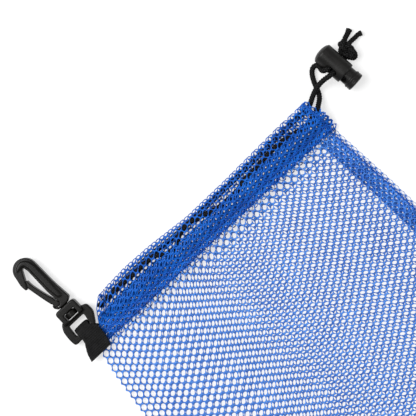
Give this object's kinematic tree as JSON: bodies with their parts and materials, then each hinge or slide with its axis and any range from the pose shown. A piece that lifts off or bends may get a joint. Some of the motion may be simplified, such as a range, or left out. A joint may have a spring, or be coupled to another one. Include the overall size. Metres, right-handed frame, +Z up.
{
  "type": "mesh dive gear bag",
  "caption": "Drawstring bag of knitted net for dive gear, with a spring cord lock on its drawcord and a swivel snap hook on a webbing loop at the mouth.",
  "frame": {"origin": "middle of the bag's own box, hook and webbing included, on the surface that it lies on", "axes": "+Y out of the mouth along the bag's length, +X from the hook's corner to the cord lock's corner, +Z up"},
  "size_m": [0.2876, 0.3596, 0.0162],
  "materials": {
    "net": "knitted polyester net, blue",
    "cord": "braided, black",
    "webbing": "woven, ribbed across, black",
    "hook_plastic": "moulded, satin black",
    "lock_plastic": "moulded, satin black"
  },
  "bodies": {
    "bag": {"mesh_pocket": "net", "side_seam_allowance": "net", "bottom_seam_allowance": "net", "mouth_casing": "net", "drawcord": "cord", "webbing_loop": "webbing", "swivel_base": "hook_plastic", "cord_end_back": "cord", "cord_end_front": "cord", "cord_knot": "cord", "cord_tail_upper": "cord", "cord_tail_lower": "cord", "lock_barrel": "lock_plastic"},
    "hook": {"hook_body": "hook_plastic"},
    "gate": {"hook_gate": "hook_plastic"},
    "plunger": {"lock_plunger": "lock_plastic"}
  },
  "joints": [
    {"name": "hook_swivel", "type": "hinge", "parent": "bag", "child": "hook", "pos_m": [-0.10329, 0.13722, 0.0048], "axis": [0, 1, 0], "continuous": true},
    {"name": "gate_hinge", "type": "hinge", "parent": "hook", "child": "gate", "pos_m": [-0.10599, 0.14192, 0.0048], "axis": [0, 0, -1], "range_deg": [0, 10], "stiffness_Nm_per_rad": 0.5, "springref_deg": -2.86},
    {"name": "plunger_slide", "type": "slide", "parent": "bag", "child": "plunger", "axis": [-0.1028, 0.9947, 0], "range_m": [0, 0.0038], "stiffness_N_per_m": 1500, "springref_m": -0.001}
  ]
}
